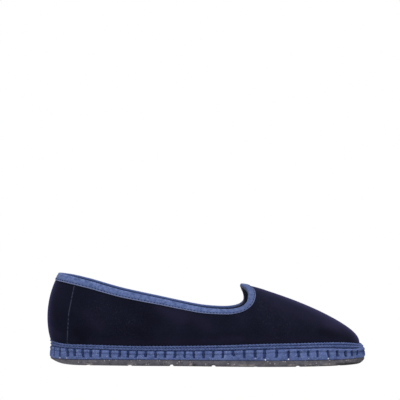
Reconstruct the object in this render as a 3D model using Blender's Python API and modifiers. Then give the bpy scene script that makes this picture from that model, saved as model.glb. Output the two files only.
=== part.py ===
"""Slipper loafer, right shoe: velvet upper with a bound collar on a stitched sole with a rubber tread.

The toe points along +X, the outer (lateral) side along -Y, and the tread stands on Z = 0.
The form of the foot is one function, last_point(station, across). Upper, collar binding, welt,
insole and the outline of the sole are all worked out from it.
"""
import math
from collections import namedtuple

import bmesh
import bpy
from mathutils import Vector

MM = 0.001                  # sizes below are in millimetres, meshes are in metres

# Plan of the last at the feather line, where the upper meets the sole
HEEL_X = -97.0              # axis that the back of the heel turns about
HEEL_REACH = 29.0           # from that axis to the back of the heel
HEEL_ARC = 44.0             # run of stations given to the turn of the heel, on each side
BALL_X = 52.0               # axis that the toe turns about, at the widest place
TOE_REACH = 74.5            # from that axis to the tip of the toe
TOE_ARC = 94.0              # run of stations given to the turn of the toe, on each side
TOE_SWING = 5.5             # the tip of the toe lies this far towards the inner side
TOE_SLOPE = 0.332           # fall of the vamp towards the toe
PLAN_POWER = 2.2            # roundness of heel and toe in plan, 2 is an ellipse
SWELL_POWER = 0.72          # puts the fullest place of the wall low down
BACK = HEEL_X - HEEL_ARC    # station of the middle of the heel
TIP = BALL_X + TOE_ARC      # station of the tip of the toe

# Thicknesses and fits
WALL = 1.9                  # velvet, backing and lining
FIT = 0.3                   # clearance between neighbouring pieces
TAPE = 0.75                 # collar tape
TAPE_CREST = 1.2            # height of the fold above the edge
OUTSOLE_TOP = 5.0
OUTSOLE_INSET = 0.5         # the rubber stands back from the stitched edge
INSOLE_INSET = WALL + 2 * FIT

# Tread and stitch slots
GROOVE_X = (-96.0, -62.0, -28.0, 6.0, 40.0, 74.0, 108.0)
GROOVE_WIDTH = 2.6
GROOVE_DEPTH = 1.2
GROOVE_LENGTH = 140.0       # longer than the sole is wide
SLOTS_PER_SIDE = 38         # upright stitch slots along each side of the midsole
SLOT_CROWDING = 0.031       # share of the edge by which the middle ones stand nearer the heel
SLOT_WIDTH = 1.7
SLOT_FLOOR = 0.6            # share of that width at the bottom of the slot
SLOT_DEPTH = 1.1

# Half-widths of the feather line
Plan = namedtuple("Plan", "x lateral medial")
PLAN = (
    Plan(-97.0, 27.6, 27.6),
    Plan(-60.0, 29.2, 27.8),
    Plan(-25.0, 32.2, 28.4),
    Plan(10.0, 37.6, 33.6),
    Plan(32.0, 40.3, 38.4),
    Plan(52.0, 41.2, 41.2),
)

# Height of the crown of the last, which the upper follows only in front of the throat
Crown = namedtuple("Crown", "x height")
CROWN = (
    Crown(-97.0, 87.2),
    Crown(-60.0, 77.7),
    Crown(-25.0, 67.7),
    Crown(10.0, 65.3),
    Crown(21.0, 65.6),
    Crown(32.0, 64.9),
    Crown(45.0, 61.8),
    Crown(52.0, 59.4),
)

# Height of the ledge on the midsole that upper, welt and insole stand on
Ledge = namedtuple("Ledge", "x height")
LEDGE = (
    Ledge(-127.0, 14.6),
    Ledge(-110.0, 13.8),
    Ledge(-97.0, 13.4),
    Ledge(-60.0, 12.2),
    Ledge(-25.0, 12.1),
    Ledge(10.0, 12.7),
    Ledge(52.0, 14.1),
    Ledge(95.0, 14.7),
    Ledge(127.0, 13.2),
)

# Character of the wall and of the sole's edge from the back of the heel to the tip of the toe
Edge = namedtuple("Edge", "station welt fullness swell margin bevel round")
EDGE = (
    Edge(BACK, 18.3, 3.0, 5.4, 2.8, 13.5, 4.7),
    Edge(-119.0, 17.4, 3.0, 4.9, 3.0, 11.5, 4.0),
    Edge(-97.0, 16.9, 2.8, 4.0, 3.2, 6.5, 2.6),
    Edge(-60.0, 15.9, 2.4, 2.8, 3.5, 2.0, 1.6),
    Edge(-25.0, 16.1, 2.1, 2.0, 3.6, 1.8, 1.5),
    Edge(10.0, 16.9, 1.8, 1.6, 3.6, 1.8, 1.5),
    Edge(52.0, 18.5, 2.0, 1.2, 3.6, 1.8, 1.5),
    Edge(100.0, 18.9, 2.5, 1.0, 4.0, 2.6, 2.2),
    Edge(TIP, 15.6, 2.8, 0.9, 5.0, 5.0, 3.6),
)

# Edge of the upper from the back of the heel to the peak of the throat, without its tape, and the
# width of the tape's flaps; on the medial side the throat is shallower and stands back a little
Collar = namedtuple("Collar", "station height tape medial_back")
COLLAR = (
    Collar(BACK, 74.0, 5.7, 0.0),
    Collar(-117.5, 72.6, 5.7, 0.0),
    Collar(-102.0, 69.8, 5.6, 0.0),
    Collar(-70.0, 60.8, 5.4, 0.0),
    Collar(-37.0, 53.7, 5.1, 0.0),
    Collar(-5.0, 47.0, 4.6, 0.0),
    Collar(12.0, 45.4, 4.2, 0.0),
    Collar(21.0, 45.6, 4.2, 0.2),
    Collar(28.8, 47.5, 4.3, 0.7),
    Collar(33.4, 50.9, 4.6, 1.5),
    Collar(35.3, 55.7, 5.0, 2.9),
    Collar(35.3, 60.1, 5.0, 4.0),
    Collar(33.4, 62.7, 5.0, 3.2),
)
PEAK = 29.5                 # station of the peak, on the crown
PEAK_TAPE = 5.0             # width of the tape's flaps there
LOW_ROW = 6                 # row of that table from which the columns fan out to the toe

# Side of the midsole from its lower to its upper edge: set back from the outline, height over the
# outsole or depth under the ledge, and share of the slot's depth
MidsoleRow = namedtuple("MidsoleRow", "inset above_outsole below_ledge slot")
MIDSOLE_SIDE = (
    MidsoleRow(0.6, FIT, None, 0.0),
    MidsoleRow(0.0, 2.6, None, 0.0),
    MidsoleRow(0.0, None, 3.3, 1.0),
    MidsoleRow(0.5, None, 2.9, 1.0),
    MidsoleRow(0.1, None, 2.4, 1.0),
    MidsoleRow(0.25, None, 0.8, 1.0),
    MidsoleRow(1.2, None, 0.0, 0.6),
)

# Hand-sewn slots of the lateral side: share of the way round from heel to toe, and how far they stray
Stray = namedtuple("Stray", "share shift")
STRAYS = (
    Stray(0.0, 0.0),
    Stray(0.06, 0.0),
    Stray(0.095, 0.7),
    Stray(0.15, -0.6),
    Stray(0.20, -1.3),
    Stray(0.25, 0.1),
    Stray(0.31, -1.3),
    Stray(0.40, -0.6),
    Stray(0.47, -1.1),
    Stray(0.55, -1.4),
    Stray(0.60, -0.3),
    Stray(0.65, -0.3),
    Stray(0.70, 1.9),
    Stray(0.77, 0.7),
    Stray(0.84, 1.2),
    Stray(0.88, 1.0),
    Stray(0.928, -1.9),
    Stray(0.957, 1.2),
    Stray(1.0, 0.0),
)

# Two yarn rows of the welt from the crest down: share of its height, least thickness over the upper
# and reach as a share of the sole's margin
WeltRow = namedtuple("WeltRow", "rise thick reach")
WELT_SIDE = (
    WeltRow(1.00, 0.5, 0.26),
    WeltRow(0.80, 1.0, 0.46),
    WeltRow(0.55, 0.7, 0.44),
    WeltRow(0.42, 1.2, 0.66),
    WeltRow(0.15, 1.2, 0.72),
    WeltRow(0.00, 0.8, 0.64),
)
WELT_BED = (0.0, 0.5, 0.88)  # shares of its height where the inner side follows the upper

# Insole from its lower face up to the dished middle
InsoleRow = namedtuple("InsoleRow", "inset rise")
INSOLE_SIDE = (
    InsoleRow(0.4, 0.0),
    InsoleRow(0.0, 0.5),
    InsoleRow(0.0, 2.5),
    InsoleRow(0.5, 3.0),
    InsoleRow(9.0, 2.3),
)

# Rounded lower edge of the outsole, which rises most at the heel: shares of its bevel and of its height
OutsoleRow = namedtuple("OutsoleRow", "bevel rise")
OUTSOLE_SIDE = (
    OutsoleRow(1.0, 0.0),
    OutsoleRow(0.5, 0.2),
    OutsoleRow(0.18, 0.6),
    OutsoleRow(0.0, 1.0),
    OutsoleRow(0.0, None),
)

# How closely the shapes are divided
HEEL_COLUMNS = 6
QUARTER_COLUMNS = 9
VAMP_COLUMNS = 21
ROW_SHARES = (0.0, 0.016, 0.063, 0.14, 0.25, 0.39, 0.56, 0.77, 0.93, 1.0)
OUTLINE_STEPS = 600         # for measuring the length of the sole's edge
SMOOTH_ANGLE = 40.0         # degrees, sharper edges stay crisp


def smooth(rows, x, column, flat_ends=False):
    """Value of a table's column at x, on a cubic through its rows."""
    xs = [row[0] for row in rows]
    ys = [getattr(row, column) for row in rows]
    last = len(rows) - 1
    x = min(max(x, xs[0]), xs[last])
    i = max(k for k in range(last) if xs[k] <= x)

    def slope(k):
        if k in (0, last):
            near = 0 if k == 0 else last - 1
            return 0.0 if flat_ends else (ys[near + 1] - ys[near]) / (xs[near + 1] - xs[near])
        return (ys[k + 1] - ys[k - 1]) / (xs[k + 1] - xs[k - 1])

    span = xs[i + 1] - xs[i]
    u = (x - xs[i]) / span
    start = ys[i] * (1 + 2 * u) * (1 - u) ** 2 + slope(i) * span * u * (1 - u) ** 2
    return start + ys[i + 1] * u * u * (3 - 2 * u) - slope(i + 1) * span * u * u * (1 - u)


def edge(station, column):
    return smooth(EDGE, station, column, flat_ends=True)


def ledge(x):
    return smooth(LEDGE, x, "height", flat_ends=True)


def swing(x):
    """Sideways set of the last in front of the ball."""
    return TOE_SWING * max(0.0, (x - BALL_X) / TOE_REACH) ** 2


def feather(station, side):
    """Plan of the feather line and of the axis that the wall leans towards, without the swing."""
    name = "lateral" if side < 0 else "medial"
    if HEEL_X <= station <= BALL_X:
        return (station, side * smooth(PLAN, station, name, flat_ends=True)), (station, 0.0)
    if station < HEEL_X:
        turn = 0.5 * math.pi * (HEEL_X - station) / HEEL_ARC
        axis_x, reach = HEEL_X, -HEEL_REACH
    else:
        turn = 0.5 * math.pi * (station - BALL_X) / TOE_ARC
        axis_x, reach = BALL_X, TOE_REACH
    half = smooth(PLAN, axis_x, name, flat_ends=True)
    ahead = abs(math.sin(turn)) ** (2 / PLAN_POWER)
    aside = abs(math.cos(turn)) ** (2 / PLAN_POWER)
    return (axis_x + reach * ahead, side * half * aside), (axis_x, 0.0)


def last_point(station, across):
    """Point of the last: across is 0 on the lateral feather line, 1 on the crown, 2 on the medial."""
    side = -1.0 if across <= 1.0 else 1.0
    share = across if across <= 1.0 else 2.0 - across
    lift = 0.5 * math.pi * min(max(share, 0.0), 1.0)
    power = 2 / edge(station, "fullness")
    out = abs(math.cos(lift)) ** power
    rise = math.sin(lift) ** power
    (foot_x, foot_y), (axis_x, axis_y) = feather(station, side)
    run = Vector((foot_x - axis_x, foot_y - axis_y))
    swell = edge(station, "swell") * math.sin(math.pi * rise ** SWELL_POWER)
    plan = Vector((axis_x, axis_y)) + run * out + run.normalized() * swell
    if station > BALL_X:
        crown = smooth(CROWN, BALL_X, "height") - TOE_SLOPE * (plan.x - BALL_X)
    else:
        crown = smooth(CROWN, axis_x, "height")
    base = ledge(foot_x) + FIT
    return Vector((plan.x, plan.y + swing(plan.x), base + (crown - base) * rise))


def last_normal(station, across):
    """Outward direction square to the last."""
    step, tilt = 0.2, 0.002
    low, high = max(across - tilt, 0.0), min(across + tilt, 2.0)
    back, front = max(station - step, BACK), min(station + step, TIP)
    along = last_point(front, across) - last_point(back, across)
    over = last_point(station, high) - last_point(station, low)
    normal = along.cross(over).normalized()
    point = last_point(station, across)
    _, axis = feather(station, -1.0)
    middle = Vector((axis[0], axis[1], ledge(axis[0]) - 5.0))
    return normal if normal.dot(point - middle) > 0 else -normal


def across_at(station, height):
    """Lateral across value where the last reaches a height."""
    low, high = 0.0, 1.0
    for _ in range(40):
        middle = 0.5 * (low + high)
        if last_point(station, middle).z < height:
            low = middle
        else:
            high = middle
    return 0.5 * (low + high)


def place_at(x, y):
    """(station, across) of the last above a place in plan ahead of the heel's axis, without the swing."""
    side = -1.0 if y <= 0 else 1.0
    name = "lateral" if side < 0 else "medial"
    if x <= BALL_X:
        station = x
        out = abs(y) / smooth(PLAN, x, name, flat_ends=True)
    else:
        half = smooth(PLAN, BALL_X, name, flat_ends=True)
        ahead, aside = (x - BALL_X) / TOE_REACH, abs(y) / half
        turn = math.atan2(ahead ** (PLAN_POWER / 2), aside ** (PLAN_POWER / 2))
        station = BALL_X + TOE_ARC * turn / (0.5 * math.pi)
        out = (ahead ** PLAN_POWER + aside ** PLAN_POWER) ** (1 / PLAN_POWER)
    lift = math.acos(min(out, 1.0) ** (edge(station, "fullness") / 2))
    across = lift / (0.5 * math.pi)
    return station, across if side < 0 else 2.0 - across


def plan_of(station, across):
    """Place in plan of a point of the last, without swell and swing."""
    side = -1.0 if across <= 1.0 else 1.0
    share = across if across <= 1.0 else 2.0 - across
    out = math.cos(0.5 * math.pi * share) ** (2 / edge(station, "fullness"))
    foot, axis = feather(station, side)
    return Vector(axis) + (Vector(foot) - Vector(axis)) * out


def path(foot, top, across):
    """(station, across) at each row of a column, from its foot on the feather line to the collar."""
    side = -1.0 if across <= 1.0 else 1.0
    start, end = Vector(feather(foot, side)[0]), plan_of(top, across)
    places = []
    for share in ROW_SHARES:
        if foot < HEEL_X:
            edge_out = math.cos(0.5 * math.pi * (across if side < 0 else 2 - across))
            out = 1 - (1 - edge_out ** (2 / edge(foot, "fullness"))) * share
            lift = math.acos(out ** (edge(foot, "fullness") / 2)) / (0.5 * math.pi)
            places.append((foot, lift if side < 0 else 2 - lift))
        else:
            plan = start + (end - start) * share
            places.append(place_at(plan.x, plan.y if abs(plan.y) > 1e-9 else 0.0))
    return places


Node = namedtuple("Node", "station across height tape")
Column = namedtuple("Column", "foot station across tape")


def collar_nodes():
    """Nodes of the collar: up the lateral side to the peak of the throat, back down the medial."""
    lateral, medial = [], []
    for row in COLLAR:
        lateral.append(Node(row.station, across_at(row.station, row.height), row.height, row.tape))
        station = row.station - row.medial_back
        medial.append(Node(station, 2 - across_at(station, row.height), row.height, row.tape))
    peak = Node(PEAK, 1.0, last_point(PEAK, 1.0).z, PEAK_TAPE)
    return lateral + [peak] + medial[::-1]


def collar_run():
    """Lengths along the collar at its nodes, and a function that gives a node at any length."""
    nodes = collar_nodes()
    points = [last_point(node.station, node.across) for node in nodes]
    lengths = [0.0]
    for one, two in zip(points, points[1:]):
        lengths.append(lengths[-1] + (two - one).length)
    low = lengths[LOW_ROW], lengths[-1 - LOW_ROW]
    keys = [-lengths[1]] + lengths + [2 * lengths[-1] - lengths[-2]]
    before, after = (node._replace(station=2 * BACK - node.station) for node in (nodes[1], nodes[-2]))
    line = [before] + nodes + [after]

    def at(length):
        i = max(k for k in range(1, len(nodes)) if keys[k] <= length or k == 1)
        span = keys[i + 1] - keys[i]
        u = (length - keys[i]) / span
        value = []
        for one, two, three, four in zip(*line[i - 1:i + 3]):
            start = (three - one) / (keys[i + 1] - keys[i - 1]) * span
            end = (four - two) / (keys[i + 2] - keys[i]) * span
            value.append(
                two * (1 + 2 * u) * (1 - u) ** 2 + start * u * (1 - u) ** 2
                + three * u * u * (3 - 2 * u) - end * u * u * (1 - u)
            )
        node = Node(*value)
        if low[0] < length < low[1]:
            return node
        share = across_at(node.station, node.height)
        return node._replace(across=share if length <= low[0] else 2 - share)

    return lengths, at


def spread(start, end, count):
    """Count steps from start up to, but not including, end."""
    return [start + (end - start) * k / count for k in range(count)]


def columns():
    """Columns once round the upper, each from its foot on the feather line to the collar."""
    lengths, at = collar_run()
    whole = lengths[-1]
    found = []
    for side in (-1, 1):
        # lengths are taken from the back of the heel on both sides
        marks = lengths if side < 0 else [whole - length for length in reversed(lengths)]
        seat, low, far = marks[2], marks[LOW_ROW], marks[len(COLLAR)]
        low_station = COLLAR[LOW_ROW].station
        fan = TIP - low_station - (far - low)
        stops = spread(0.0, seat, HEEL_COLUMNS) + spread(seat, low, QUARTER_COLUMNS)
        stops += spread(low, far, VAMP_COLUMNS)
        half = []
        for stop in stops + [far]:
            node = at(stop if side < 0 else whole - stop)
            foot = node.station
            if stop > low:
                foot = low_station + (stop - low) + fan * ((stop - low) / (far - low)) ** 1.5
            half.append(Column(min(max(foot, BACK), TIP), node.station, node.across, node.tape))
        found += half if side < 0 else half[-2:0:-1]
    return found


def lateral_feet():
    """Stations of the columns' feet up the lateral side, from heel to toe."""
    return [column.foot for column in columns()[:HEEL_COLUMNS + QUARTER_COLUMNS + VAMP_COLUMNS + 1]]


def mesh_object(name, collection, points, faces, material):
    """A smooth-shaded mesh object from points in millimetres."""
    mesh = bpy.data.meshes.new(name)
    mesh.from_pydata([Vector(point) * MM for point in points], [], faces)
    work = bmesh.new()
    work.from_mesh(mesh)
    bmesh.ops.recalc_face_normals(work, faces=work.faces)
    work.to_mesh(mesh)
    work.free()
    mesh.shade_smooth()
    mesh.set_sharp_from_angle(angle=math.radians(SMOOTH_ANGLE))
    mesh.materials.append(material)
    result = bpy.data.objects.new(name, mesh)
    collection.objects.link(result)
    return result


def loft(loops, closed):
    """Points and quads between closed loops of equal length; closed joins the last loop to the first."""
    count = len(loops[0])
    points = [point for loop in loops for point in loop]
    faces = []
    for k in range(len(loops) - (0 if closed else 1)):
        here = k * count
        there = (k + 1) % len(loops) * count
        for i in range(count):
            j = (i + 1) % count
            faces.append((here + i, here + j, there + j, there + i))
    return points, faces


def ladder(first, count):
    """Quads across a closed loop that runs up one side and comes back down the other."""
    half = count // 2
    faces = []
    for i in range(half):
        near = (first + i, first + i + 1)
        far = (first + (count - i) % count, first + count - i - 1)
        faces.append(tuple(dict.fromkeys((near[0], near[1], far[1], far[0]))))
    return faces


def plate(loops):
    """Points and faces of a plate whose side runs through the loops from its lower to its upper face."""
    points, faces = loft(loops, closed=False)
    count = len(loops[0])
    top = (len(loops) - 1) * count
    return points, faces + ladder(0, count) + ladder(top, count)


def round_trip(stations):
    """Stations and sides once round the shoe: up the lateral side, back down the medial."""
    inner = [(station, 1.0) for station in reversed(stations[1:-1])]
    return [(station, -1.0) for station in stations] + inner


def outline_point(station, side, margin):
    """Plan of a line that runs outside the feather line by a margin."""
    step = 0.4

    def foot(place):
        (x, y), _ = feather(place, side)
        return Vector((x, y + swing(x)))

    if station <= BACK + step:
        tangent = Vector((0.0, side))
    elif station >= TIP - step:
        tangent = Vector((0.0, -side))
    else:
        tangent = (foot(station + step) - foot(station - step)).normalized()
    normal = Vector((tangent.y, -tangent.x)) * (-side)
    return foot(station) + normal * margin


def even_stations(side, shares):
    """Stations on one side of the sole's edge at shares of its length, which is given too."""
    grid = [BACK + (TIP - BACK) * k / OUTLINE_STEPS for k in range(OUTLINE_STEPS + 1)]
    line = [outline_point(station, side, edge(station, "margin")) for station in grid]
    run = [0.0]
    for one, two in zip(line, line[1:]):
        run.append(run[-1] + (two - one).length)
    found = []
    for share in shares:
        goal = share * run[-1]
        i = max(k for k in range(OUTLINE_STEPS) if run[k] <= goal)
        found.append(grid[i] + (grid[i + 1] - grid[i]) * (goal - run[i]) / (run[i + 1] - run[i]))
    return found, run[-1]


def wall_reach(station, side, height):
    """How far outside the feather line the upper's wall is at a height."""
    share = across_at(station, height)
    point = last_point(station, share if side < 0 else 2 - share)
    line = outline_point(station, side, 0.0)
    out = outline_point(station, side, 1.0) - line
    return (Vector((point.x, point.y)) - line).dot(out)


def walk(station, across, direction, length):
    """Where a short straight walk along the last ends, as (station, across)."""
    target = last_point(station, across) + direction * length
    step, tilt = 0.1, 0.002
    for _ in range(6):
        ahead = last_point(station + step, across) - last_point(station - step, across)
        over = last_point(station, across + tilt) - last_point(station, across - tilt)
        ahead /= 2 * step
        over /= 2 * tilt
        miss = target - last_point(station, across)
        size, mixed, rise = ahead.dot(ahead), ahead.dot(over), over.dot(over)
        det = size * rise - mixed * mixed
        station += (ahead.dot(miss) * rise - over.dot(miss) * mixed) / det
        across += (over.dot(miss) * size - ahead.dot(miss) * mixed) / det
    return station, across


def build_upper(collection, material):
    """Open surface of the upper, given its wall by Solidify."""
    paths = [path(column.foot, column.station, column.across) for column in columns()]
    loops = [[last_point(*places[row]) for places in paths] for row in range(len(ROW_SHARES))]
    points, faces = loft(loops, closed=False)
    upper = mesh_object("upper", collection, points, faces, material)
    wall = upper.modifiers.new("wall", "SOLIDIFY")
    wall.thickness = WALL * MM
    wall.offset = -1.0
    wall.use_even_offset = True
    return upper


def tape_section(place, before, after, width):
    """U section of the collar tape at one place of the collar, between its neighbours."""
    top = last_point(*place)
    normal = last_normal(*place)
    tangent = last_point(*after) - last_point(*before)
    down = tangent.cross(normal).normalized()
    outer, outer_bed, inner, inner_bed = [], [], [], []
    for step in (0.0, 0.5, 0.5):
        place = walk(*place, down, step * width)
        base = last_point(*place)
        out = last_normal(*place)
        outer.append(base + out * (FIT + TAPE))
        outer_bed.append(base + out * FIT)
        inner.append(base - out * (WALL + FIT + TAPE))
        inner_bed.append(base - out * (WALL + FIT))
    crest = top - normal * (0.5 * WALL) - down * TAPE_CREST
    shoulder = 0.5 * WALL + 0.5 * (FIT + TAPE)
    drop = down * (0.3 * TAPE_CREST)
    fold = [crest + normal * shoulder + drop, crest, crest - normal * shoulder + drop]
    bed = [inner_bed[0] - down * FIT, outer_bed[0] - down * FIT]
    return outer[::-1] + fold + inner + inner_bed[:0:-1] + bed + outer_bed[1:]


def build_binding(collection, material):
    """Tape folded over the whole collar."""
    ring = columns()
    places = [(column.station, column.across) for column in ring]
    sections = []
    for i, column in enumerate(ring):
        after = places[(i + 1) % len(ring)]
        sections.append(tape_section(places[i], places[i - 1], after, column.tape))
    points, faces = loft(list(zip(*sections)), closed=True)
    return mesh_object("collar_binding", collection, points, faces, material)


def welt_section(station, side):
    """Section of the welt: up the wall of the upper, then down over its two rows of yarn."""
    (foot_x, _), _ = feather(station, side)
    low = ledge(foot_x) + FIT
    tall = edge(station, "welt") - low
    section = []
    for rise in WELT_BED:
        plan = outline_point(station, side, wall_reach(station, side, low + tall * rise) + FIT)
        section.append((plan.x, plan.y, low + tall * rise))
    for row in WELT_SIDE:
        height = low + tall * row.rise
        least = wall_reach(station, side, height) + FIT + row.thick
        plan = outline_point(station, side, max(least, row.reach * edge(station, "margin")))
        section.append((plan.x, plan.y, height))
    return section


def build_welt(collection, material):
    """Two rows of yarn braid round the foot of the upper."""
    trip = round_trip(lateral_feet())
    sections = [welt_section(station, side) for station, side in trip]
    points, faces = loft(list(zip(*sections)), closed=True)
    return mesh_object("welt", collection, points, faces, material)


def slot_columns(side):
    """Stations along one side of the midsole, each with its share of the slot's depth."""
    _, length = even_stations(side, (0.0,))
    lip = 0.5 * SLOT_WIDTH / length
    shares = [(0.0, 0.0)]
    for k in range(SLOTS_PER_SIDE):
        even = (k + 0.5) / SLOTS_PER_SIDE
        centre = even - SLOT_CROWDING * math.sin(math.pi * even)
        if side < 0:
            centre += smooth(STRAYS, centre, "shift") / length
        shares += [(centre - lip, 0.0), (centre - SLOT_FLOOR * lip, 1.0)]
        shares += [(centre + SLOT_FLOOR * lip, 1.0), (centre + lip, 0.0)]
    shares.append((1.0, 0.0))
    stations, _ = even_stations(side, [share for share, _ in shares])
    return [(station, side, cut) for station, (_, cut) in zip(stations, shares)]


def build_midsole(collection, material):
    """Stitched sole plate: a groove along its side and upright slots that the stitches lie in."""
    trip = slot_columns(-1.0) + slot_columns(1.0)[-2:0:-1]
    loops = []
    for row in MIDSOLE_SIDE:
        loop = []
        for station, side, cut in trip:
            inset = row.inset + SLOT_DEPTH * cut * row.slot
            plan = outline_point(station, side, edge(station, "margin") - inset)
            if row.below_ledge is None:
                height = OUTSOLE_TOP + row.above_outsole
            else:
                height = ledge(plan.x) - row.below_ledge
            loop.append((plan.x, plan.y, height))
        loops.append(loop)
    points, faces = plate(loops)
    return mesh_object("midsole", collection, points, faces, material)


def build_insole(collection, material):
    """Insole board inside the upper, dished a little."""
    trip = round_trip(lateral_feet()[::2])
    loops = []
    for row in INSOLE_SIDE:
        plans = [outline_point(station, side, -INSOLE_INSET - row.inset) for station, side in trip]
        loops.append([(plan.x, plan.y, ledge(plan.x) + FIT + row.rise) for plan in plans])
    points, faces = plate(loops)
    return mesh_object("insole", collection, points, faces, material)


def groove_cutter(name, x, cutters):
    """Box that cuts one cross groove of the tread."""
    work = bmesh.new()
    bmesh.ops.create_cube(work, size=1.0)
    size = Vector((GROOVE_WIDTH, GROOVE_LENGTH, 2 * GROOVE_DEPTH))
    bmesh.ops.scale(work, vec=size * MM, verts=work.verts)
    mesh = bpy.data.meshes.new(name)
    work.to_mesh(mesh)
    work.free()
    cutter = bpy.data.objects.new(name, mesh)
    cutter.location.x = x * MM
    cutter.hide_render = True
    cutter.display_type = "WIRE"
    cutters.objects.link(cutter)
    return cutter


def build_outsole(collection, cutters, material):
    """Rubber sheet with a rounded lower edge and cross grooves."""
    trip = round_trip(lateral_feet())
    loops = []
    for row in OUTSOLE_SIDE:
        loop = []
        for station, side in trip:
            inset = OUTSOLE_INSET + row.bevel * edge(station, "bevel")
            plan = outline_point(station, side, edge(station, "margin") - inset)
            height = OUTSOLE_TOP if row.rise is None else row.rise * edge(station, "round")
            loop.append((plan.x, plan.y, height))
        loops.append(loop)
    points, faces = plate(loops)
    outsole = mesh_object("outsole", collection, points, faces, material)
    for k, x in enumerate(GROOVE_X):
        cut = outsole.modifiers.new(f"groove_{k + 1}", "BOOLEAN")
        cut.operation = "DIFFERENCE"
        cut.object = groove_cutter(cut.name, x, cutters)
    return outsole


def plain_material(name, colour, roughness):
    material = bpy.data.materials.new(name)
    material.use_nodes = True
    shader = material.node_tree.nodes["Principled BSDF"]
    shader.inputs["Base Color"].default_value = (*colour, 1.0)
    shader.inputs["Roughness"].default_value = roughness
    material.diffuse_color = (*colour, 1.0)
    return material


def main():
    for old in list(bpy.data.objects):
        bpy.data.objects.remove(old, do_unlink=True)
    shoe = bpy.data.collections.new("slipper_loafer")
    cutters = bpy.data.collections.new("cutters")
    for collection in (shoe, cutters):
        bpy.context.scene.collection.children.link(collection)
    frame = bpy.data.objects.new("slipper_loafer_frame", None)
    shoe.objects.link(frame)
    velvet = plain_material("velvet", (0.010, 0.011, 0.024), 0.9)
    tape = plain_material("ribbed_tape", (0.105, 0.155, 0.320), 0.75)
    yarn = plain_material("welt_yarn", (0.110, 0.150, 0.330), 0.85)
    cloth = plain_material("stitched_cloth", (0.075, 0.105, 0.260), 0.85)
    board = plain_material("insole_cloth", (0.020, 0.021, 0.028), 0.9)
    rubber = plain_material("tread_rubber", (0.130, 0.124, 0.140), 0.8)
    pieces = (
        build_upper(shoe, velvet),
        build_binding(shoe, tape),
        build_welt(shoe, yarn),
        build_midsole(shoe, cloth),
        build_insole(shoe, board),
        build_outsole(shoe, cutters, rubber),
    )
    for piece in pieces:
        piece.parent = frame


main()
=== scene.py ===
"""Looks of the slipper loafer: velvet upper, bound collar, yarn welt, stitched sole and rubber tread.

The toe points along +X, the outer side along -Y, and the tread stands on Z = 0. Sizes are in
millimetres and become metres when a mesh is made. The fine pieces follow the same form of the
foot, last_points(station, across), as the solids that they replace.
"""
import math
from collections import namedtuple

import bmesh
import bpy
import numpy as np
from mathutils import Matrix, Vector


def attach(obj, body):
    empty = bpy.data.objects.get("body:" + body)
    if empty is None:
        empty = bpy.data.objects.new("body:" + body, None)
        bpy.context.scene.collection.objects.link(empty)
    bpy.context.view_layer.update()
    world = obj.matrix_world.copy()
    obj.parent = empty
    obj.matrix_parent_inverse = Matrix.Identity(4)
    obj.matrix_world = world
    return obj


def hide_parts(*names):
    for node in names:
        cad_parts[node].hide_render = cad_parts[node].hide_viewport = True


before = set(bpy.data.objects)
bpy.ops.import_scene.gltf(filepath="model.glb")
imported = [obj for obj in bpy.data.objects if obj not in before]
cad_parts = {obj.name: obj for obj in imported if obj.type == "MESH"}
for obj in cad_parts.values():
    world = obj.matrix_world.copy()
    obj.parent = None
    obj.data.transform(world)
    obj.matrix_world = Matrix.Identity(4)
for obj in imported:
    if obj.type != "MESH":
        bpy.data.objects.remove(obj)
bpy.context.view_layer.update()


def table(columns, *rows):
    """Rows of numbers whose columns have names."""
    named = namedtuple("Row", columns)
    return tuple(named(*map(float, row)) for row in rows)


MM = 0.001
SEED = 7
RIGHT_ANGLE = 0.5 * math.pi
FULL_TURN = 2 * math.pi
UP = np.array((0.0, 0.0, 1.0))

# Plan of the last at the feather line, where the upper meets the sole
HEEL_X = -97.0
HEEL_REACH = 29.0
HEEL_ARC = 44.0
BALL_X = 52.0
TOE_REACH = 74.5
TOE_ARC = 94.0
TOE_SWING = 5.5
TOE_SLOPE = 0.332
PLAN_POWER = 2.2
SWELL_POWER = 0.72
BACK = HEEL_X - HEEL_ARC
TIP = BALL_X + TOE_ARC

# Thicknesses and fits
WALL = 1.9
LINING = 0.8
FIT = 0.3
TAPE_CREST = 1.2
OUTSOLE_TOP = 5.0
OUTSOLE_INSET = 0.5
INSOLE_INSET = WALL + 2 * FIT
SOCK = 3.0
SOCK_DISH = 0.8
BAND_LOW = OUTSOLE_TOP + FIT

# Points in the grids; a wall has rows, then columns at the heel, the quarter and the vamp of each half
VELVET_GRID = (52, 30, 125, 130)
LINING_GRID = (30, 24, 60, 70)
TAPE_COLUMNS = 1040
WELT_COLUMNS = 300
CORD_COLUMNS = 760
SOCK_COLUMNS = 220
SOCK_CROSS = 33
TREAD_COLUMNS = 520
TREAD_CROSS = 61
CORD_PLIES = 2
CORD_SIDES = 7

# Camera and what it sees, in metres, and its sensor in millimetres
CAMERA_X = -0.005
CAMERA_AWAY = 1.860
CAMERA_UP = 0.1348
VIEW_WIDTH = 0.3304
SENSOR = 36.0

# Soft light from above, in metres and watts
LAMP_PLACE = (0.1, -0.25, 1.3)
LAMP_GOAL = (0.0, 0.0, 0.03)
LAMP_SIZE = (1.2, 0.9)
LAMP_WATTS = 14.0

# Cross grooves of the tread, with the share of their depth that wear has left at the rim
GROOVES = table(
    "x rim",
    (-96, 0.25), (-62, 0.45), (-28, 1), (6, 0.85), (40, 0.15), (74, 0.6), (108, 0.15),
)
GROOVE_WIDTH = 2.6
GROOVE_DEPTH = 1.2
TREAD_RIB = 4.25
TREAD_RIB_DEPTH = 0.30
TREAD_WAVE = 22.0

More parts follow.
